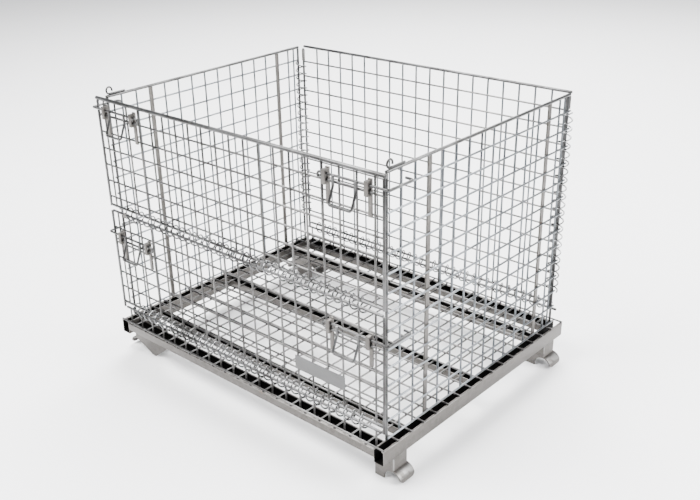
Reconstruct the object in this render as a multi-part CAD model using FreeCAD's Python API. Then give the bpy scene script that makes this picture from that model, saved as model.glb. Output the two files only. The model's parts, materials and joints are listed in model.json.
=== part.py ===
import FreeCAD, Part
import math
import os
from FreeCAD import Vector

# Folding wire mesh container. X runs along the length, Y along the depth, Z up.
# The half-drop front faces -Y. The origin is the centre of the footprint on the ground.

# ---- overall sizes -------------------------------------------------------------
base_length = 1016.0          # outside of the side channels
base_depth = 816.0            # outside of the front and rear beams
top_rail_height = 788.0       # axis of the top rails above the ground
foot_height = 70.0            # ground to the underside of the side channels

# ---- mesh and wire -------------------------------------------------------------
cell_long = 50.0              # mesh pitch along the walls and the floor
cell_high = 47.5              # mesh pitch up the walls
mesh_wire = 5.0
frame_rod = 7.0               # end rods and hinge rods
top_rail = 8.0
gate_rail = 10.0
gate_rail_end = 6.0           # the gate's top rail beyond the middle of its end rods
weld_sink = 0.05              # how far crossed wires are pressed together by the weld

# ---- wall planes ---------------------------------------------------------------
front_inset = 14.0            # front and rear mesh, in from the outside of the base
side_inset = 20.0             # side wall mesh, in from the outside of the base
end_rod_inset = 8.0           # end rods of the gate and the lower panel, in from the outside of the base
corner_step = 12.0            # back wall's end rods, in from the side walls' rear rods
row_gap = 15.0                # least height between a cross wire and a hinge rod
front_cells_out = 1           # mesh cells given up to the ends of the front and back walls
side_cells_out = 3            # and to the ends of the side walls

# ---- spiral hinges -------------------------------------------------------------
spiral_wire = 4.0
spiral_radius = 16.0          # to the middle of the wire
spiral_slack = 1.5            # between a spiral and the rods that it holds
swing_clearance = 1.0         # between a lying spiral and a side wall that swings past it
low_hinge_rise = 46.55        # axis of the floor spirals above the floor mesh
mid_hinge_height = 471.0      # axis of the spiral between the gate and the lower panel
corner_spiral_drop = 0.5      # a corner spiral's outermost crossings below the back wall's rows
middle_free_turns = 1         # turns left out at the left end of the middle spiral, for its clip
floor_rod_gap = 1.0           # between the end of a floor hinge rod and the panel's end rod
clip_sheet = 1.5
clip_length = 16.0            # of the middle spiral's clip, along its rod
clip_height = 8.0             # of its flat tab below the rod's axis
clip_gap = 1.5                # between the clip and the next upright
corner_tab = 6.0              # reach of a corner clip's tab beyond its rod

# ---- base ----------------------------------------------------------------------
channel_width = 30.0
channel_height = 40.0
channel_sheet = 2.5
channel_lip = 7.0             # lip turned in at the top of the channel's outer wall
beam_width = 44.0
beam_height = 22.0
beam_lip = 9.0                # lip turned in at the beam's outer edge
cross_width = 26.0
cross_spacing = 293.0         # from the middle cross channel to each of the others
foot_sheet = 4.0
foot_width = 58.0
foot_depth = 54.0
foot_inset = 38.0             # foot's outer plate, in from the end of the side channel
foot_corner = 5.0             # outside radius of a foot's upright corners
saddle_radius = 24.0          # arch under a foot, for the rail of a container below
saddle_inset = 5.0            # middle of the arch, in from the foot's side plate
saddle_rise = 6.0             # middle of the arch above the ground
saddle_corner = 12.0          # radius of the lip's lower corners
wide_foot_width = 96.0        # the left feet are wider
gusset_reach = 177.0          # tip of a left foot's gusset, in from the foot's side plate
gusset_height = 62.0          # gusset tip above the ground
heel_length = 14.0            # part of a left foot's outer plate that stands on the ground
heel_rise = 24.0              # from there its bottom edge rises this far to the arch

# ---- side wall details ---------------------------------------------------------
wall_floor_gap = 2.0          # lowest wire end above the floor mesh
wall_stub = 8.0               # uprights below the lowest cross wire
wall_row_lift = 5.0           # side wall rows above the back wall's, to miss the corner spirals
stiffener_width = 12.0
front_stiffener = 2           # mesh uprights from the front end to the first flat bar
rear_stiffener = 1            # and from the rear end to the second
eye_wire = 5.0
eye_radius = 9.0
eye_shank = 50.0
eye_gap = 0.5                 # between the eye's end and its shank

# ---- latches -------------------------------------------------------------------
bolt_wire = 6.0
bolt_pitch = 14.0             # between the two arms of the bolt's hairpin
bolt_clearance = 0.5          # around a bolt in its guides, and to the wires it passes
bolt_drop = 26.0              # upper bolt below the top rail
lower_bolt_drop = 76.0        # lower bolt below the middle hinge
bolt_travel_in = 10.0         # how far a bolt slides in to lock
bolt_travel_out = 15.0        # and out
bolt_tail = 22.0              # bolt's loop beyond the inner strap
bolt_end = 18.0               # bolt's lower arm beyond the outer strap
bolt_flat = 0.01              # keeps the two bends of the bolt's loop apart
handle_drop = 60.0
handle_reach = 17.0           # how far the pull stands out at its lower end
handle_bend = 12.0            # where the handle leaves the bolt
handle_corner = 6.0           # lower corners of the handle
strap_width = 10.0
strap_inset = 13.0            # outer strap, in from the last upright
strap_cells = 3               # mesh cells from the last upright to the one before the inner strap
strap_past = 17.0             # inner strap past that upright
strap_gap_out = 4.0           # handle's outer leg to the outer strap, with the bolt out
strap_gap_in = 10.0           # handle's inner leg to the inner strap, with the bolt in
strap_above = 13.0            # straps above and below the bolt's upper arm
strap_below = 74.0
eye_above = 10.0              # slotted eyes above the upper arm and below the lower one
eye_sheet = 4.0               # in front of the bolt

# ---- name plate ----------------------------------------------------------------
plate_start = 218.0
plate_length = 164.0
plate_height = 39.0
plate_sheet = 1.2
plate_corner = 3.6
plate_bottom = 222.0

# ---- worked out from the sizes above -------------------------------------------
half_length = base_length / 2
half_depth = base_depth / 2
channel_top = foot_height + channel_height
long_wire_z = channel_top + mesh_wire / 2 - weld_sink
cross_wire_z = long_wire_z - mesh_wire + weld_sink
cross_top = cross_wire_z - mesh_wire / 2 + weld_sink
floor_top = long_wire_z + mesh_wire / 2

lap = mesh_wire - weld_sink                     # between the two layers of a mesh
rod_lap = (frame_rod + mesh_wire) / 2 - weld_sink
front_y = -half_depth + front_inset             # uprights of the gate and the lower panel
back_y = half_depth - front_inset               # uprights of the back wall
side_x = half_length - side_inset               # uprights of the right wall
gate_half = half_length - end_rod_inset
front_cells = int(2 * gate_half / cell_long) - front_cells_out
front_half = front_cells * cell_long / 2
side_cells = int(2 * half_depth / cell_long) - side_cells_out
side_half = side_cells * cell_long / 2

# the two rods in a spiral lie against it with the slack between them and the coil
rod_spacing = 2 * (spiral_radius - spiral_wire / 2 - spiral_slack) - frame_rod

front_cross_y = front_y + lap                   # cross wires lie inside the front mesh
front_rod_y = front_cross_y - rod_lap
back_cross_y = back_y - lap
back_rod_y = back_cross_y - rod_lap             # inside the cross wires, clear of the rear spiral
side_cross_x = side_x + lap                     # cross wires lie outside the side mesh
side_rod_x = side_cross_x - rod_lap
back_half = side_rod_x - corner_step
wall_front_y = front_y + spiral_radius + spiral_wire / 2 + swing_clearance + frame_rod / 2
wall_rear_y = back_rod_y - math.sqrt(rod_spacing ** 2 - corner_step ** 2)
corner_x = (side_rod_x + back_half) / 2         # middle of a corner spiral
corner_y = (back_rod_y + wall_rear_y) / 2

low_hinge_z = floor_top + low_hinge_rise
floor_rod_z = low_hinge_z - rod_spacing / 2
panel_low_z = low_hinge_z + rod_spacing / 2
panel_top_z = mid_hinge_height - rod_spacing / 2
gate_low_z = mid_hinge_height + rod_spacing / 2
wall_low_z = floor_top + wall_floor_gap + wall_stub

front_uprights = [cell_long * i - front_half for i in range(front_cells + 1)]
side_uprights = [cell_long * i - side_half for i in range(side_cells + 1)]
stiffener_rows = (front_stiffener, side_cells - rear_stiffener)


def rows_between(low, high, lift):
    """Heights of the cross wires that keep row_gap to the rods at low and high."""
    count = int(top_rail_height / cell_high)
    rows = [top_rail_height - cell_high * k + lift for k in range(1, count + 1)]
    return [z for z in rows if low + row_gap <= z <= high - row_gap]


gate_rows = rows_between(gate_low_z, top_rail_height, 0.0)
panel_rows = rows_between(panel_low_z, panel_top_z, 0.0)
back_rows = rows_between(panel_low_z, top_rail_height, 0.0)
wall_rows = rows_between(wall_low_z, top_rail_height, wall_row_lift)


def rod(start, end, diameter):
    """Straight wire between two points."""
    path = Vector(*end) - Vector(*start)
    return Part.makeCylinder(diameter / 2, path.Length, Vector(*start), path)


def block(x_range, y_range, z_range):
    """Box between the given limits along each axis."""
    lows = [min(pair) for pair in (x_range, y_range, z_range)]
    sizes = [abs(pair[1] - pair[0]) for pair in (x_range, y_range, z_range)]
    return Part.makeBox(*sizes, Vector(*lows))


def bent_wire(points, bends, diameter):
    """One wire along the points, with a tangent arc of the given radius at each inner point."""
    points = [Vector(*p) for p in points]
    edges = []
    start = points[0]
    for before, corner, after, radius in zip(points, points[1:], points[2:], bends):
        to_before = (before - corner).normalize()
        to_after = (after - corner).normalize()
        half_angle = to_before.getAngle(to_after) / 2
        reach = radius / math.tan(half_angle)
        arc_start = corner + to_before * reach
        arc_end = corner + to_after * reach
        middle_way = (to_before + to_after).normalize()
        arc_middle = corner + middle_way * (radius / math.sin(half_angle) - radius)
        if (arc_start - start).Length > 1e-6:
            edges.append(Part.LineSegment(start, arc_start).toShape())
        edges.append(Part.Arc(arc_start, arc_middle, arc_end).toShape())
        start = arc_end
    edges.append(Part.LineSegment(start, points[-1]).toShape())
    path = Part.Wire(edges)
    profile = Part.Wire([Part.makeCircle(diameter / 2, points[0], points[1] - points[0])])
    return path.makePipeShell([profile], True, False)


def spiral(length, pitch):
    """Coil along +Z from the origin, starting over +X and turning from +X towards +Y."""
    helix = Part.makeLongHelix(pitch, length, spiral_radius, 0, False)
    profile = Part.Wire([Part.makeCircle(spiral_wire / 2, Vector(spiral_radius, 0, 0), Vector(0, 1, 0))])
    return Part.Wire(helix).makePipeShell([profile], True, True)


def spiral_along_x(y, z, free_turns):
    """Coil along X round two rods, one above the other.

    On its +Y side it crosses in line with the mesh and halfway between, so that its crossings
    above and below the rods are clear of the uprights there.
    """
    pitch = cell_long / 2
    turns = 2 * (front_cells - 1) - free_turns
    coil = spiral(turns * pitch, pitch)
    # the turn about (1, 1, 1) takes Z to X, so that the coil starts over +Y and turns up
    coil.rotate(Vector(0, 0, 0), Vector(1, 1, 1), 120)
    start = -front_half + (1 + free_turns) * pitch
    coil.translate(Vector(start, y, z))
    return coil


def mirrored(shape):
    """The same piece on the other side of the container."""
    return shape.mirror(Vector(0, 0, 0), Vector(1, 0, 0))


def both_ends(shape):
    """A piece and its copy mirrored from the front to the rear."""
    return shape, shape.mirror(Vector(0, 0, 0), Vector(0, 1, 0))


# ---- base ----------------------------------------------------------------------
def side_channel():
    """Right side channel, open upwards and at both ends, with a lip along its outer wall."""
    inner_x = half_length - channel_width
    outer = block((inner_x, half_length), (-half_depth, half_depth), (foot_height, channel_top))
    hollow = block(
        (inner_x + channel_sheet, half_length - channel_sheet),
        (-half_depth, half_depth),
        (foot_height + channel_sheet, channel_top),
    )
    lip = block(
        (half_length - channel_lip, half_length),
        (-half_depth, half_depth),
        (channel_top - channel_sheet, channel_top),
    )
    return outer.cut(hollow).fuse(lip).removeSplitter()


def front_beam():
    """Shallow channel between the side channels, with a lip turned in along its outer edge."""
    ends = (-half_length + channel_width, half_length - channel_width)
    outer = block(ends, (-half_depth, -half_depth + beam_width), (cross_top - beam_height, cross_top))
    hollow = block(
        ends,
        (-half_depth + channel_sheet, -half_depth + beam_width - channel_sheet),
        (cross_top - beam_height + channel_sheet, cross_top),
    )
    lip = block(
        ends,
        (-half_depth, -half_depth + beam_lip),
        (cross_top - channel_sheet, cross_top),
    )
    return outer.cut(hollow).fuse(lip).removeSplitter()


def cross_channel(y):
    """Shallow channel under the floor mesh, open upwards."""
    ends = (-half_length + channel_width, half_length - channel_width)
    outer = block(ends, (y - cross_width / 2, y + cross_width / 2), (cross_top - beam_height, cross_top))
    hollow = block(
        ends,
        (y - cross_width / 2 + channel_sheet, y + cross_width / 2 - channel_sheet),
        (cross_top - beam_height + channel_sheet, cross_top),
    )
    return outer.cut(hollow)


def floor_long_wires():
    """Floor wires along X, from the outside of one side channel to the other."""
    edge_y = half_depth - mesh_wire / 2
    rows = [-edge_y] + [y - cell_long / 2 for y in side_uprights] + [side_half + cell_long / 2, edge_y]
    return [
        rod((-half_length, y, long_wire_z), (half_length, y, long_wire_z), mesh_wire)
        for y in rows
    ]


def floor_cross_wires():
    """Floor wires along Y, under the long ones and on the beams and cross channels."""
    return [
        rod((x + cell_long / 2, -half_depth, cross_wire_z), (x + cell_long / 2, half_depth, cross_wire_z), mesh_wire)
        for x in front_uprights[:-1]
    ]


def foot_lip(front):
    """Rounded lip that runs on from the right foot's side plate over the outside of the arch."""
    outer_radius = saddle_radius + foot_sheet
    centre = Vector(half_length - saddle_inset, front, saddle_rise)
    lip = Part.makeCylinder(outer_radius, foot_depth, centre, Vector(0, 1, 0))
    lip = lip.cut(Part.makeCylinder(saddle_radius, foot_depth, centre, Vector(0, 1, 0)))
    outside = (half_length - foot_sheet, centre.x + outer_radius)
    depth = (front, front + foot_depth)
    lip = lip.common(block(outside, depth, (saddle_rise, saddle_rise + outer_radius)))
    # the free edge has its two corners rounded
    for edge, way in ((front, 1), (front + foot_depth, -1)):
        middle = Vector(outside[0], edge + way * saddle_corner, saddle_rise + saddle_corner)
        corner = block(outside, (edge, middle.y), (saddle_rise, middle.z))
        length = outside[1] - outside[0]
        lip = lip.cut(corner.cut(Part.makeCylinder(saddle_corner, length, middle, Vector(1, 0, 0))))
    return lip


def foot(width, gusseted):
    """Right front foot: a bent sheet with an outer, an inner and a side plate.

    The outer and inner plates are arched at the bottom, to sit on the rail of a container
    below, and the side plate turns outwards over the same arch.
    """
    front = -half_depth + foot_inset
    rear = front + foot_depth
    side_face = half_length
    arch = Vector(side_face - saddle_inset, front, saddle_rise)
    arch_start = arch.x - saddle_radius
    body = block((side_face - foot_sheet, side_face), (front, rear), (saddle_rise, foot_height))
    for y in (front, rear - foot_sheet):
        plate = block((side_face - width, side_face), (y, y + foot_sheet), (0, foot_height))
        if gusseted and y == front:
            corners = [
                (side_face - width, 0),
                (side_face - gusset_reach, gusset_height),
                (side_face - gusset_reach, foot_height),
                (side_face, foot_height),
                (side_face, heel_rise),
                (arch_start, heel_rise),
                (side_face - width + heel_length, 0),
            ]
            outline = [Vector(x, y, z) for x, z in corners + corners[:1]]
            plate = Part.Face(Part.makePolygon(outline)).extrude(Vector(0, foot_sheet, 0))
        body = body.fuse(plate)
    body = body.cut(Part.makeCylinder(saddle_radius, foot_depth, arch, Vector(0, 1, 0)))
    body = body.cut(block((arch_start, side_face), (front, rear), (0, saddle_rise)))
    # the sheet is bent round its two upright corners
    for edge, way in ((front, 1), (rear, -1)):
        middle = Vector(side_face - foot_corner, edge + way * foot_corner, 0)
        corner = block((middle.x, side_face), (edge, middle.y), (0, foot_height))
        body = body.cut(corner.cut(Part.makeCylinder(foot_corner, foot_height, middle)))
    return body.fuse(foot_lip(front)).removeSplitter()


def floor_hinge_rods():
    """Rods along the front and the rear of the floor, which the lower spirals hold."""
    reach = gate_half - frame_rod - floor_rod_gap
    return [
        rod((-reach, front_y, floor_rod_z), (reach, front_y, floor_rod_z), frame_rod),
        rod((-reach, back_y, floor_rod_z), (reach, back_y, floor_rod_z), frame_rod),
    ]


def hinge_posts(y):
    """Short uprights that carry a floor hinge rod on its beam, in line with the mesh uprights."""
    foot_z = cross_top - beam_height + channel_sheet
    return [
        rod((x, y, foot_z), (x, y, floor_rod_z - frame_rod / 2), mesh_wire)
        for x in front_uprights
    ]


# ---- back wall -----------------------------------------------------------------
def back_wall_uprights():
    """Uprights between the back wall's bottom rod and its top rail."""
    low = panel_low_z + frame_rod / 2
    high = top_rail_height - top_rail / 2
    return [rod((x, back_y, low), (x, back_y, high), mesh_wire) for x in front_uprights[1:-1]]


def back_wall_cross_wires():
    """Cross wires on the inside of the back wall."""
    reach = back_half + frame_rod / 2
    return [rod((-reach, back_cross_y, z), (reach, back_cross_y, z), mesh_wire) for z in back_rows]


def back_wall_rods():
    """The two end rods and the bottom rod of the back wall."""
    high = top_rail_height - top_rail / 2
    ends = [
        rod((x, back_rod_y, low_hinge_z), (x, back_rod_y, high), frame_rod)
        for x in (-back_half, back_half)
    ]
    reach = back_half + frame_rod / 2
    return ends + [rod((-reach, back_y, panel_low_z), (reach, back_y, panel_low_z), frame_rod)]


def back_wall_top_rail():
    """Rail along the top of the back wall."""
    reach = back_half + frame_rod
    return rod((-reach, back_y, top_rail_height), (reach, back_y, top_rail_height), top_rail)


def corner_spiral():
    """Upright coil round the right wall's rear rod and the back wall's right end rod."""
    rows = len(back_rows) - 1
    coil = spiral(rows * cell_high, cell_high / 2)
    coil.translate(Vector(corner_x, corner_y, back_rows[-1] - corner_spiral_drop))
    return coil


def corner_clip():
    """Sleeve crimped on the back wall's right end rod, over the end of the corner spiral."""
    low = top_rail_height - cell_high + mesh_wire
    high = top_rail_height - top_rail
    centre = Vector(back_half, back_rod_y, low)
    sleeve = Part.makeCylinder(frame_rod / 2 + clip_sheet, high - low, centre)
    tab = block(
        (back_half, back_half + frame_rod / 2 + corner_tab),
        (back_rod_y + frame_rod / 2, back_rod_y + frame_rod / 2 + clip_sheet),
        (low, high),
    )
    hole = Part.makeCylinder(frame_rod / 2, high - low, centre)
    return sleeve.fuse(tab).cut(hole).removeSplitter()


# ---- side walls ----------------------------------------------------------------
def wall_uprights():
    """Wire uprights of the right wall, without the two that are flat bars."""
    low = floor_top + wall_floor_gap
    high = top_rail_height - top_rail / 2
    places = [y for i, y in enumerate(side_uprights) if i not in stiffener_rows]
    places.append(side_uprights[-1] + cell_long / 2)
    return [rod((side_x, y, low), (side_x, y, high), mesh_wire) for y in places]


def wall_stiffeners():
    """Flat upright bars of the right wall."""
    outer_x = side_cross_x - mesh_wire / 2 + weld_sink
    low = floor_top + wall_floor_gap
    high = top_rail_height - top_rail / 2
    return [
        block(
            (outer_x - mesh_wire, outer_x),
            (side_uprights[i] - stiffener_width / 2, side_uprights[i] + stiffener_width / 2),
            (low, high),
        )
        for i in stiffener_rows
    ]


def wall_cross_wires():
    """Cross wires on the outside of the right wall."""
    start = wall_front_y - frame_rod / 2
    end = wall_rear_y + frame_rod / 2
    rows = wall_rows + [wall_low_z]
    return [rod((side_cross_x, start, z), (side_cross_x, end, z), mesh_wire) for z in rows]


def wall_end_rods():
    """Front and rear rods of the right wall."""
    low = floor_top + wall_floor_gap
    high = top_rail_height - top_rail / 2
    return [
        rod((side_rod_x, y, low), (side_rod_x, y, high), frame_rod)
        for y in (wall_front_y, wall_rear_y)
    ]


def wall_top_rail():
    """Rail along the top of the right wall."""
    start = wall_front_y - frame_rod / 2
    end = wall_rear_y + frame_rod / 2
    return rod((side_x, start, top_rail_height), (side_x, end, top_rail_height), top_rail)


def wall_eye():
    """Eye bent from one wire, with its shank welded along the front of the right wall's top rail."""
    shank_z = top_rail_height + (top_rail + eye_wire) / 2 - weld_sink
    ring_y = wall_front_y + eye_radius
    centre = Vector(side_x, ring_y, shank_z + eye_radius)

    def on_ring(angle):
        turn = math.radians(angle)
        return centre + Vector(0, eye_radius * math.cos(turn), eye_radius * math.sin(turn))

    # from under the centre forwards, over the top and down at the back, short of the shank
    end_angle = -360 - math.degrees(math.asin(1 - (eye_wire + eye_gap) / eye_radius))
    shank_end = Vector(side_x, ring_y + eye_shank, shank_z)
    edges = [
        Part.LineSegment(shank_end, on_ring(-90)).toShape(),
        Part.Arc(on_ring(-90), on_ring((end_angle - 90) / 2), on_ring(end_angle)).toShape(),
    ]
    profile = Part.Wire([Part.makeCircle(eye_wire / 2, shank_end, Vector(0, 1, 0))])
    return Part.Wire(edges).makePipeShell([profile], True, False)


# ---- lower front panel ---------------------------------------------------------
def panel_uprights():
    """Uprights of the lower front panel, between its two hinge rods."""
    low = panel_low_z + frame_rod / 2
    high = panel_top_z - frame_rod / 2
    return [rod((x, front_y, low), (x, front_y, high), mesh_wire) for x in front_uprights]


def front_cross_wires(rows):
    """Cross wires on the inside of the lower panel or the gate."""
    reach = gate_half + frame_rod / 2
    return [rod((-reach, front_cross_y, z), (reach, front_cross_y, z), mesh_wire) for z in rows]


def panel_end_rods():
    """End rods of the lower front panel, which run down past the lower hinge."""
    low = low_hinge_z - rod_spacing / 2
    return [
        rod((x, front_rod_y, low), (x, front_rod_y, panel_top_z), frame_rod)
        for x in (-gate_half, gate_half)
    ]


def panel_hinge_rods():
    """Top and bottom rods of the lower front panel, between its end rods."""
    reach = gate_half - frame_rod / 2
    return [
        rod((-reach, front_y, z), (reach, front_y, z), frame_rod)
        for z in (panel_top_z, panel_low_z)
    ]


def name_plate():
    """Blank sheet plate on the outside of the lower front panel."""
    face_y = front_y - mesh_wire / 2
    plate = block(
        (plate_start, plate_start + plate_length),
        (face_y - plate_sheet, face_y),
        (plate_bottom, plate_bottom + plate_height),
    )
    edges = [e for e in plate.Edges if abs(e.Vertexes[0].Y - e.Vertexes[1].Y) > plate_sheet / 2]
    return plate.makeFillet(plate_corner, edges)


def middle_clip():
    """Sleeve crimped on the panel's top rod beside the left end of the middle spiral."""
    end = -front_half + cell_long - mesh_wire / 2 - clip_gap
    start = end - clip_length
    sleeve = rod((start, front_y, panel_top_z), (end, front_y, panel_top_z), frame_rod + 2 * clip_sheet)
    tab_front = front_y - frame_rod / 2 - clip_sheet
    tab = block(
        (start, end),
        (tab_front, tab_front + clip_sheet),
        (panel_top_z - clip_height, panel_top_z),
    )
    hole = rod((start, front_y, panel_top_z), (end, front_y, panel_top_z), frame_rod)
    return sleeve.fuse(tab).cut(hole).removeSplitter()


# ---- gate ----------------------------------------------------------------------
def gate_uprights():
    """Uprights of the gate, between its bottom rod and its top rail."""
    low = gate_low_z + frame_rod / 2
    high = top_rail_height - gate_rail / 2
    return [rod((x, front_y, low), (x, front_y, high), mesh_wire) for x in front_uprights]


def gate_rods():
    """End rods and bottom rod of the gate."""
    high = top_rail_height - gate_rail / 2
    low = gate_low_z - frame_rod / 2
    ends = [
        rod((x, front_rod_y, low), (x, front_rod_y, high), frame_rod)
        for x in (-gate_half, gate_half)
    ]
    reach = gate_half - frame_rod / 2
    return ends + [rod((-reach, front_y, gate_low_z), (reach, front_y, gate_low_z), frame_rod)]


def gate_top_rail():
    """Rail along the top of the gate."""
    reach = gate_half + gate_rail_end
    return rod((-reach, front_y, top_rail_height), (reach, front_y, top_rail_height), gate_rail)


# ---- latches -------------------------------------------------------------------
bolt_y = front_rod_y - frame_rod / 2 - bolt_clearance - bolt_wire / 2
hook_bend = (frame_rod + bolt_wire) / 2 + bolt_clearance    # round the end rod when locked
hook_x = gate_half + frame_rod / 2 + bolt_clearance + bolt_travel_in + bolt_wire / 2
hook_y = side_uprights[0] + (mesh_wire + bolt_wire) / 2 + bolt_clearance
tip_x = side_cross_x + mesh_wire / 2 + bolt_clearance
strap_outer = front_half - strap_inset
strap_inner = front_half - strap_cells * cell_long + strap_past
handle_outer = strap_outer - (strap_width + bolt_wire) / 2 - bolt_travel_out - strap_gap_out
handle_inner = strap_inner + (strap_width + bolt_wire) / 2 + bolt_travel_in + strap_gap_in


def latch_bolt(z):
    """Right bolt: a hairpin of wire whose upper arm hooks round the side wall's first upright."""
    low_z = z - bolt_pitch
    tail_x = strap_inner - bolt_tail
    return bent_wire(
        [
            (strap_outer + bolt_end, bolt_y, low_z),
            (tail_x, bolt_y, low_z),
            (tail_x, bolt_y, z),
            (hook_x, bolt_y, z),
            (hook_x, hook_y, z),
            (tip_x, hook_y, z),
        ],
        [bolt_pitch / 2 - bolt_flat, bolt_pitch / 2 - bolt_flat, hook_bend, hook_bend],
        bolt_wire,
    )


def latch_handle(z):
    """Right pull handle: a wire loop welded on the front of the bolt's two arms."""
    top_z = z + bolt_wire / 2
    mid_z = z - bolt_pitch - bolt_wire
    low_z = z - handle_drop
    near_y = bolt_y - bolt_wire + weld_sink
    far_y = near_y - handle_reach
    return bent_wire(
        [
            (handle_inner, near_y, top_z),
            (handle_inner, near_y, mid_z),
            (handle_inner, far_y, low_z),
            (handle_outer, far_y, low_z),
            (handle_outer, near_y, mid_z),
            (handle_outer, near_y, top_z),
        ],
        [handle_bend, handle_corner, handle_corner, handle_bend],
        bolt_wire,
    )


def latch_guides(z):
    """Two flat straps on the cross wires, each with a slotted eye that guides the bolt's arms."""
    back = front_cross_y - mesh_wire / 2 + weld_sink
    eye_half = bolt_wire / 2 + bolt_clearance
    guides = []
    for x in (strap_inner, strap_outer):
        width = (x - strap_width / 2, x + strap_width / 2)
        strap = block(width, (back - mesh_wire, back), (z - strap_below, z + strap_above))
        front = bolt_y - eye_half - eye_sheet
        eye = block(width, (front, back - mesh_wire), (z - bolt_pitch - eye_above, z + eye_above))
        slot = block(width, (bolt_y - eye_half, bolt_y + eye_half), (z - bolt_pitch, z))
        for hole_z in (z, z - bolt_pitch):
            hole = Part.makeCylinder(eye_half, strap_width, Vector(width[0], bolt_y, hole_z), Vector(1, 0, 0))
            slot = slot.fuse(hole)
        guides.append(strap.fuse(eye).cut(slot).removeSplitter())
    return guides


# ---- write the pieces ----------------------------------------------------------
upper_bolt_z = top_rail_height - bolt_drop
lower_bolt_z = mid_hinge_height - lower_bolt_drop
pieces = {}


def add(name, *shapes):
    """Keep a piece, or several equal solids, under one name."""
    pieces[name] = list(shapes)


def add_pair(name, shapes):
    """Keep a right piece and its mirrored left one."""
    add("right_" + name, *shapes)
    add("left_" + name, *[mirrored(s) for s in shapes])


add_pair("side_channel", [side_channel()])
front, rear = both_ends(front_beam())
add("front_beam", front)
add("rear_beam", rear)
for place, y in (("front", -cross_spacing), ("middle", 0.0), ("rear", cross_spacing)):
    add(place + "_cross_channel", cross_channel(y))
add("floor_long_wires", *floor_long_wires())
add("floor_cross_wires", *floor_cross_wires())
for place, foot_shape in zip(("front", "rear"), both_ends(foot(foot_width, False))):
    add("right_" + place + "_foot", foot_shape)
for place, foot_shape in zip(("front", "rear"), both_ends(mirrored(foot(wide_foot_width, True)))):
    add("left_" + place + "_foot", foot_shape)
add("floor_hinge_rods", *floor_hinge_rods())
add("front_hinge_posts", *hinge_posts(front_y))
add("rear_hinge_posts", *hinge_posts(back_y))
add("front_floor_spiral", spiral_along_x(front_y, low_hinge_z, 0))
add("rear_floor_spiral", spiral_along_x(back_y, low_hinge_z, 0))

add("back_wall_uprights", *back_wall_uprights())
add("back_wall_cross_wires", *back_wall_cross_wires())
add("back_wall_rods", *back_wall_rods())
add("back_wall_top_rail", back_wall_top_rail())
add_pair("corner_spiral", [corner_spiral()])
add("corner_clips", corner_clip(), mirrored(corner_clip()))

add_pair("wall_uprights", wall_uprights())
add_pair("wall_stiffeners", wall_stiffeners())
add_pair("wall_cross_wires", wall_cross_wires())
add_pair("wall_end_rods", wall_end_rods())
add_pair("wall_top_rail", [wall_top_rail()])
add_pair("wall_eye", [wall_eye()])

add("panel_uprights", *panel_uprights())
add("panel_cross_wires", *front_cross_wires(panel_rows))
add("panel_end_rods", *panel_end_rods())
add("panel_hinge_rods", *panel_hinge_rods())
add("name_plate", name_plate())
add("middle_spiral", spiral_along_x(front_y, mid_hinge_height, middle_free_turns))
add("middle_spiral_clip", middle_clip())

add("gate_uprights", *gate_uprights())
add("gate_cross_wires", *front_cross_wires(gate_rows))
add("gate_rods", *gate_rods())
add("gate_top_rail", gate_top_rail())

for level, z in (("upper", upper_bolt_z), ("lower", lower_bolt_z)):
    guides = latch_guides(z)
    add(level + "_latch_guides", *guides, *[mirrored(g) for g in guides])
    add("right_" + level + "_bolt", latch_bolt(z))
    add("left_" + level + "_bolt", mirrored(latch_bolt(z)))
    add("right_" + level + "_handle", latch_handle(z))
    add("left_" + level + "_handle", mirrored(latch_handle(z)))

# the footprint's centre goes to the origin
boxes = [s.optimalBoundingBox(False, False) for shapes in pieces.values() for s in shapes]
front_most = min(box.YMin for box in boxes)
rear_most = max(box.YMax for box in boxes)
to_origin = Vector(0, -(front_most + rear_most) / 2, 0)

os.makedirs("parts", exist_ok=True)
for name, shapes in pieces.items():
    solids = [solid for shape in shapes for solid in shape.Solids]
    shape = solids[0] if len(solids) == 1 else Part.makeCompound(solids)
    shape.translate(to_origin)
    shape.exportStep("parts/" + name + ".step")
print(len(pieces), "pieces written, moved by", round(to_origin.y, 3), "to the origin")
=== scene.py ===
import json
import math
import bpy
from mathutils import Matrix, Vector


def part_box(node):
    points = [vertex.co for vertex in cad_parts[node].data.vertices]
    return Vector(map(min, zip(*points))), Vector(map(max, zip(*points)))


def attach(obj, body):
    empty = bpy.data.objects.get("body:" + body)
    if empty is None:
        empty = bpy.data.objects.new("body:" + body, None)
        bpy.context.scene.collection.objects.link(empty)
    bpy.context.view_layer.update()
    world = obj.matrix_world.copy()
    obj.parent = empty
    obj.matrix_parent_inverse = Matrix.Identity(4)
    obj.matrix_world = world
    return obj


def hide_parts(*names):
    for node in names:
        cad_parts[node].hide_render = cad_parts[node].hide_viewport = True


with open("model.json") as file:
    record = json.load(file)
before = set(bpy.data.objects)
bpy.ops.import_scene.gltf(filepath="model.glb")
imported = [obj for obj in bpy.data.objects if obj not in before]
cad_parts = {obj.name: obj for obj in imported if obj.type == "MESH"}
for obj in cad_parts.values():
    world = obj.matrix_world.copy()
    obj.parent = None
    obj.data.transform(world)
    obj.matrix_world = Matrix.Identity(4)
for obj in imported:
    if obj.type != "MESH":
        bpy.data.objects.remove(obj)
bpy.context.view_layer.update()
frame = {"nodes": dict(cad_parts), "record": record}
nodes = frame["nodes"]
print("frame loaded,", len(nodes), "nodes")


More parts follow.
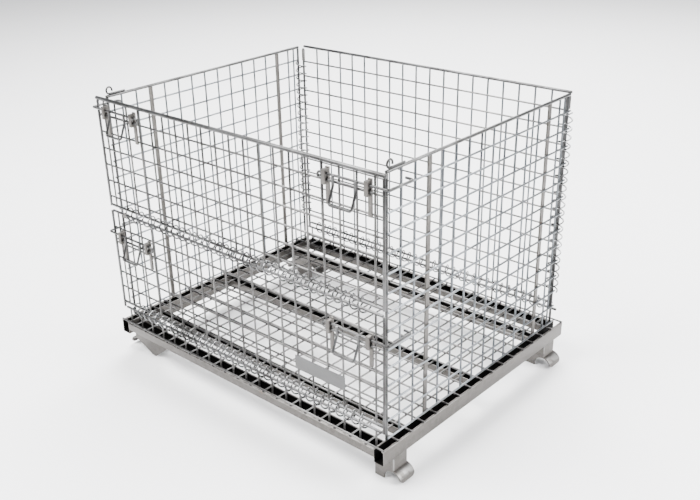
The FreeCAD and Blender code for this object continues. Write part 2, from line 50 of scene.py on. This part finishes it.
class Num:
    def __init__(self, surface, socket):
        self.surface = surface
        self.socket = socket

    def maths(self, operation, *values):
        return self.surface.node("ShaderNodeMath", {"operation": operation}, dict(enumerate(values)))

    def __add__(self, other):
        return self.maths("ADD", self, other)

    def __sub__(self, other):
        return self.maths("SUBTRACT", self, other)

    def __rsub__(self, other):
        return self.maths("SUBTRACT", other, self)

    def __mul__(self, other):
        return self.maths("MULTIPLY", self, other)

    def __abs__(self):
        return self.maths("ABSOLUTE", self)

    __radd__ = __add__
    __rmul__ = __mul__

    def above(self, edge, soft):  # 0 below the edge, 1 once soft above it
        return self.surface.node("ShaderNodeMapRange", {"interpolation_type": "SMOOTHSTEP"},
                                 {"Value": self, "From Min": edge, "From Max": edge + soft})

    def below(self, edge, soft):
        return 1 - self.above(edge - soft, soft)


class Surface:
    def __init__(self, name):
        self.material = bpy.data.materials.new(name)
        self.material.use_nodes = True
        self.tree = self.material.node_tree
        self.shader = self.tree.nodes["Principled BSDF"]
        self.place = self.node("ShaderNodeTexCoord", {}, {}, "Object")

    def node(self, kind, settings, values, output=0):
        node = self.tree.nodes.new(kind)
        for key, value in settings.items():
            setattr(node, key, value)
        for key, value in values.items():
            if isinstance(value, Num):
                self.tree.links.new(value.socket, node.inputs[key])
            else:
                node.inputs[key].default_value = value
        return Num(self, node.outputs[output])

    def noise(self, scale, detail=3.0, rough=0.55, where=None):
        return self.node("ShaderNodeTexNoise", {}, {"Vector": where or self.place, "Scale": scale,
                                                    "Detail": detail, "Roughness": rough}, "Fac")

    def mix(self, amount, low, high):
        return self.node("ShaderNodeMix", {"data_type": "RGBA"}, {0: amount, 6: low, 7: high}, 2)

    def axis(self, name):
        return self.node("ShaderNodeSeparateXYZ", {}, {0: self.place}, name)

    def facing(self, name):
        normal = self.node("ShaderNodeTexCoord", {}, {}, "Normal")
        return self.node("ShaderNodeSeparateXYZ", {}, {0: normal}, name)

    def stretched(self, scale):
        return self.node("ShaderNodeMapping", {}, {"Vector": self.place, "Scale": scale})

    def bump(self, height, strength, distance):
        return self.node("ShaderNodeBump", {},
                         {"Height": height, "Strength": strength, "Distance": distance})

    def paint(self, **values):
        for key, value in values.items():
            socket = self.shader.inputs[key.replace("_", " ")]
            if isinstance(value, Num):
                self.tree.links.new(value.socket, socket)
            else:
                socket.default_value = value
        return self.material


def grey(level, warm=0.0):
    return (level * (1 + warm), level, level * (1 - warm), 1.0)


zincLook = {
    "wire": {"bright": grey(0.12, 0.02), "dull": grey(0.045, 0.03),
             "metal": 0.94, "gloss": 0.24, "spangle": 260},
    # a lighter, bluer copy of the wire for the wall wires: painted light for the light these walls catch
    "litWallWire": {"bright": grey(0.18, -0.07), "dull": grey(0.075, -0.06),
                 "metal": 0.94, "gloss": 0.24, "spangle": 260},
    "rod": {"bright": grey(0.11, 0.0), "dull": grey(0.04, 0.02),
            "metal": 0.94, "gloss": 0.26, "spangle": 200},
    "spring": {"bright": grey(0.24, -0.01), "dull": grey(0.05, 0.01),
               "metal": 1.0, "gloss": 0.15, "spangle": 320},
}


def zincWire(name, look):
    skin = Surface(name)
    cloudy = skin.noise(14, 4)
    grain = skin.noise(look["spangle"], 2)
    chalk = skin.noise(38, 5, 0.7).above(0.56, 0.16)  # chalky white patches where the zinc has weathered
    base = skin.mix(cloudy.above(0.35, 0.35), look["bright"], look["dull"])
    base = skin.mix(grain.above(0.5, 0.2) * 0.3, base, look["bright"])
    base = skin.mix(chalk * 0.3, base, grey(0.26, 0.0))
    rough = look["gloss"] + grain * 0.16 + chalk * 0.25
    height = grain * 0.6 + skin.noise(70, 3) * 0.4
    return skin.paint(Base_Color=base, Metallic=look["metal"] - chalk * 0.35, Roughness=rough,
                      Normal=skin.bump(height, 0.35, 0.0006))


materials = {name: zincWire(name + "Zinc", look) for name, look in zincLook.items()}

# the near-black inside colour below is painted shade for the shadowed insides of the channels and beams
sheetLook = {"plain": grey(0.065, 0.09), "worn": grey(0.15, 0.06), "grime": grey(0.03, 0.14),
             "edge": grey(0.36, 0.01), "scratch": grey(0.36, 0.02), "rust": (0.19, 0.07, 0.025, 1.0),
             "grease": grey(0.006, 0.05), "metal": 0.85, "gloss": 0.34, "spangle": 95.0}


def zincSheet(name, look, trough=None):
    skin = Surface(name)
    spangle = skin.node("ShaderNodeTexVoronoi", {}, {"Vector": skin.place, "Scale": look["spangle"]}, "Color")
    flake = skin.node("ShaderNodeSeparateXYZ", {}, {0: spangle}, "X")
    scratches = skin.noise(60, 6, 0.7, skin.stretched((1.0, 9.0, 9.0))).above(0.6, 0.08)
    cloudy = skin.noise(9, 4)
    base = skin.mix(flake * 0.35 + cloudy * 0.4, look["plain"], look["worn"])
    base = skin.mix(scratches * 0.3, base, look["scratch"])
    base = skin.mix(skin.noise(24, 6, 0.75).above(0.57, 0.2) * 0.5, base, look["grime"])
    # the sheet is made lighter along its rounded edges, partly rubbed wear and partly a painted highlight,
    # and rust starts in a few spots
    square = [skin.facing(axis) * skin.facing(axis) for axis in "XYZ"]
    # 1 on a flat side, less on a rounded edge
    flat = square[0] * square[0] + square[1] * square[1] + square[2] * square[2]
    edge = flat.below(0.85, 0.3) * skin.noise(45, 4).above(0.35, 0.2)
    rust = skin.noise(7, 5, 0.75).above(0.68, 0.05) * skin.noise(120, 4).above(0.45, 0.15)
    # painted highlight and rubbed wear: the rounded edges are mixed towards light grey
    base = skin.mix(edge * 0.5, base, look["edge"])
    base = skin.mix(rust * 0.8, base, look["rust"])
    metal = look["metal"] - rust * 0.7
    rough = look["gloss"] + flake * 0.10 + cloudy * 0.12 + rust * 0.3
    if trough:
        across = abs(skin.axis(trough["across"]) - trough["middle"])
        inside = across.below(trough["half"], 0.0004) * skin.axis("Z").below(trough["top"], 0.002)
        # painted shade: the inside of the channel is mixed to near-black in place of its shadow
        base = skin.mix(inside, base, look["grease"])
        metal = metal + inside * 0.15
        rough = rough + inside * 0.4
    height = flake * 0.2 + skin.noise(180, 3) * 0.5 + scratches * -0.4
    return skin.paint(Base_Color=base, Metallic=metal, Roughness=rough,
                      Normal=skin.bump(height, 0.25, 0.0006))


materials["sheet"] = zincSheet("stripZinc", sheetLook)

# the channels and beams are painted near-black inside, up to just under their lips: painted shade standing in
# for the shadow in each open channel
troughLook = {"step": 0.001, "lip": 0.003}
troughs = {n: "X" if "side" in n else "Y" for n in nodes if "channel" in n or "beam" in n}
for name, axis in troughs.items():
    low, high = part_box(name)
    side = "XYZ".index(axis)
    trough = {"across": axis, "middle": (low[side] + high[side]) / 2, "top": high[2] - troughLook["lip"],
              "half": (high[side] - low[side]) / 2 - troughLook["step"]}
    materials[name] = zincSheet(name + "Zinc", sheetLook, trough)


def plateSkin():
    skin = Surface("plateSkin")
    brushed = skin.noise(160, 4, 0.6, skin.stretched((0.4, 1.0, 14.0)))
    smudge = skin.noise(22, 4).above(0.5, 0.3)
    base = skin.mix(brushed, grey(0.085, 0.0), grey(0.12, 0.0))
    base = skin.mix(smudge * 0.35, base, grey(0.09, 0.02))
    return skin.paint(Base_Color=base, Metallic=0.55, Roughness=0.38 + brushed * 0.2 + smudge * 0.1,
                      Normal=skin.bump(brushed, 0.15, 0.0004))


materials["plate"] = plateSkin()
print("materials made")

wearing = {
    "plate": ["name_plate"],
    "spring": [n for n in nodes if n.endswith("spiral")],
    "sheet": [n for n in nodes if "foot" in n or "clip" in n or "guides" in n or "stiffener" in n],
    "rod": [n for n in nodes if "rod" in n or "rail" in n or "bolt" in n or "handle" in n or "eye" in n],
}
# the wall uprights and cross wires take the lighter copy of the wire, painted light
wearing["litWallWire"] = [n for n in nodes if n.endswith("wall_uprights")] + ["left_wall_cross_wires",
                                                                          "right_wall_cross_wires"]
wearing.update({name: [name] for name in troughs})
dressed = {node: finish for finish, names in wearing.items() for node in names}
for name, node in nodes.items():
    node.data.materials.clear()
    node.data.materials.append(materials[dressed.get(name, "wire")])
print("frame dressed")


def pickOnly(piece):
    bpy.ops.object.select_all(action="DESELECT")
    piece.select_set(True)
    bpy.context.view_layer.objects.active = piece


# bent sheet and cut wire have no sharp corners: each piece gets the radius of its own edges
edgeRadius = {
    "foot": {"words": ("foot",), "radius": 0.0011, "steps": 3},
    "channel": {"words": ("channel", "beam"), "radius": 0.0009, "steps": 3},
    "strip": {"words": ("guides", "stiffener"), "radius": 0.0007, "steps": 2},
    "thin": {"words": ("name_plate", "clip"), "radius": 0.0003, "steps": 2},
    "wireEnd": {"words": ("wires", "uprights", "posts"), "radius": 0.0007, "steps": 2},
    "rodEnd": {"words": ("rod", "rail"), "radius": 0.0010, "steps": 2},
}
bodyOf = {node: body for body, names in frame["record"]["behaviour"]["bodies"].items() for node in names}


def roundEdges(node, look):
    source = nodes[node]
    piece = bpy.data.objects.new(node + "Rounded", source.data.copy())
    piece.data.transform(source.matrix_world)
    bpy.context.scene.collection.objects.link(piece)
    pickOnly(piece)
    bpy.ops.object.mode_set(mode="EDIT")
    bpy.ops.mesh.select_all(action="SELECT")
    bpy.ops.mesh.remove_doubles(threshold=0.00001)
    bpy.ops.mesh.dissolve_limited(angle_limit=math.radians(0.5))
    bpy.ops.object.mode_set(mode="OBJECT")
    bpy.ops.object.modifier_add(type="BEVEL")
    bevel = piece.modifiers[-1]
    bevel.width = look["radius"]
    bevel.segments = look["steps"]
    bevel.limit_method = "ANGLE"
    bevel.angle_limit = math.radians(50)
    bpy.ops.object.modifier_apply(modifier=bevel.name)
    bpy.ops.object.shade_smooth_by_angle(angle=math.radians(40))
    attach(piece, bodyOf[node])
    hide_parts(node)


for look in edgeRadius.values():
    for node in nodes:
        if any(word in node for word in look["words"]):
            roundEdges(node, look)
print("edges rounded")

# a spot weld wells up round each crossing of two wires
weldLook = {"spread": 0.0031, "swell": 0.0019, "frontFace": 0.391525, "sideFace": 0.490475, "floor": 0.110,
            "depthMiddle": 0.007975, "pitch": 0.05, "row": 0.0475, "topRow": 0.7405, "panelRow": 0.408,
            "sideRow": 0.7455, "sideFoot": 0.12495, "frontEnd": 0.475, "sideEnd": 0.325, "flatBars": (2, 12)}


def weldRows(top, count):
    return [top - weldLook["row"] * i for i in range(count)]


def weldLine(start, count):
    return [start + weldLook["pitch"] * i for i in range(count)]


middleY = weldLook["depthMiddle"]
frontX = weldLine(-weldLook["frontEnd"], 20)
floorX = weldLine(-weldLook["frontEnd"] + weldLook["pitch"] / 2, 19)
floorY = weldLine(middleY - weldLook["sideEnd"] - weldLook["pitch"] / 2, 15)
sideY = weldLine(middleY - weldLook["sideEnd"], 14)
sideY = [y for i, y in enumerate(sideY) if i not in weldLook["flatBars"]]
sideY.append(middleY + weldLook["sideEnd"] + weldLook["pitch"] / 2)
sideZ = [weldLook["sideFoot"]] + weldRows(weldLook["sideRow"], 13)
frontY = middleY - weldLook["frontFace"]
backY = middleY + weldLook["frontFace"]
weldFields = {
    "gateWelds": {"body": "gate", "thin": 1,
                  "spots": [(x, frontY, z) for x in frontX for z in weldRows(weldLook["topRow"], 6)]},
    "panelWelds": {"body": "front_panel", "thin": 1,
                   "spots": [(x, frontY, z) for x in frontX for z in weldRows(weldLook["panelRow"], 5)]},
    "backWelds": {"body": "base", "thin": 1,
                  "spots": [(x, backY, z) for x in frontX[1:-1] for z in weldRows(weldLook["topRow"], 12)]},
    "floorWelds": {"body": "base", "thin": 2,
                   "spots": [(x, y, weldLook["floor"]) for x in floorX for y in floorY]},
    "rightWelds": {"body": "right_wall", "thin": 0,
                   "spots": [(weldLook["sideFace"], y, z) for y in sideY for z in sideZ]},
    "leftWelds": {"body": "left_wall", "thin": 0,
                  "spots": [(-weldLook["sideFace"], y, z) for y in sideY for z in sideZ]},
}


def makeWelds(name, look):
    halfSizes = [weldLook["spread"]] * 3
    halfSizes[look["thin"]] = weldLook["swell"]
    bpy.ops.object.select_all(action="DESELECT")
    bpy.ops.mesh.primitive_ico_sphere_add(subdivisions=1, radius=1.0, location=(0, 0, 0))
    weld = bpy.context.object
    bpy.ops.object.mode_set(mode="EDIT")
    bpy.ops.mesh.select_all(action="SELECT")
    bpy.ops.mesh.subdivide(number_cuts=1, smoothness=1.0)
    bpy.ops.transform.resize(value=halfSizes)
    bpy.ops.object.mode_set(mode="OBJECT")
    bpy.ops.object.shade_smooth()
    welds = [weld]
    for spot in look["spots"][1:]:
        copy = weld.copy()
        copy.data = weld.data.copy()
        copy.location = spot
        bpy.context.scene.collection.objects.link(copy)
        welds.append(copy)
    weld.location = look["spots"][0]
    bpy.ops.object.select_all(action="DESELECT")
    for copy in welds:
        copy.select_set(True)
    bpy.context.view_layer.objects.active = weld
    bpy.ops.object.join()
    bpy.ops.object.transform_apply(location=True, rotation=True, scale=True)
    weld.name = name
    # welds on the walls take the same lighter wire copy, painted light
    weld.data.materials.append(materials["litWallWire" if "wall" in look["body"] else "wire"])
    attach(weld, look["body"])


for name, look in weldFields.items():
    makeWelds(name, look)
print("welds made")


stageLook = {"floor": (0.93, 0.93, 0.94, 1.0), "size": 14.0,
             "sky": (0.95, 0.96, 1.0, 1.0), "skyStrength": 0.62}


def makeStage(look):
    bpy.ops.object.select_all(action="DESELECT")
    bpy.ops.mesh.primitive_plane_add(size=look["size"], location=(0, 0, 0))
    floor = bpy.context.object
    floor.name = "floor"
    paper = Surface("floorPaper")
    soft = paper.noise(3, 2)
    floor.data.materials.append(paper.paint(Base_Color=paper.mix(soft, look["floor"], grey(0.91)),
                                            Roughness=0.75 + soft * 0.1))
    world = bpy.data.worlds.new("studio")
    bpy.context.scene.world = world
    world.use_nodes = True
    sky = world.node_tree.nodes["Background"]
    sky.inputs["Color"].default_value = look["sky"]
    sky.inputs["Strength"].default_value = look["skyStrength"]


makeStage(stageLook)

lamps = {
    "key": {"at": (-1.2, -2.6, 4.2), "size": 2.4, "power": 740},
    "fill": {"at": (3.8, 1.2, 2.8), "size": 2.6, "power": 530},
    "top": {"at": (-1.8, 3.2, 4.4), "size": 3.6, "power": 940},
}
lampTarget = Vector((0, 0, 0.35))
for name, lamp in lamps.items():
    bpy.ops.object.light_add(type="AREA", location=lamp["at"])
    light = bpy.context.object
    light.name = name
    light.data.size = lamp["size"]
    light.data.energy = lamp["power"]
    towards = lampTarget - Vector(lamp["at"])
    light.rotation_euler = towards.to_track_quat("-Z", "Y").to_euler()

cameraView = {"at": (1.6321, -1.7685, 1.4372), "turn": (64.284, 1.813, 42.986),
              "lens": 47.785, "shift": (0.0456, 0.0296)}
cameraTurn = [math.radians(angle) for angle in cameraView["turn"]]
bpy.ops.object.camera_add(location=cameraView["at"], rotation=cameraTurn)
camera = bpy.context.object
camera.data.lens = cameraView["lens"]
camera.data.shift_x, camera.data.shift_y = cameraView["shift"]
bpy.context.scene.camera = camera
print("stage, lights and camera set")
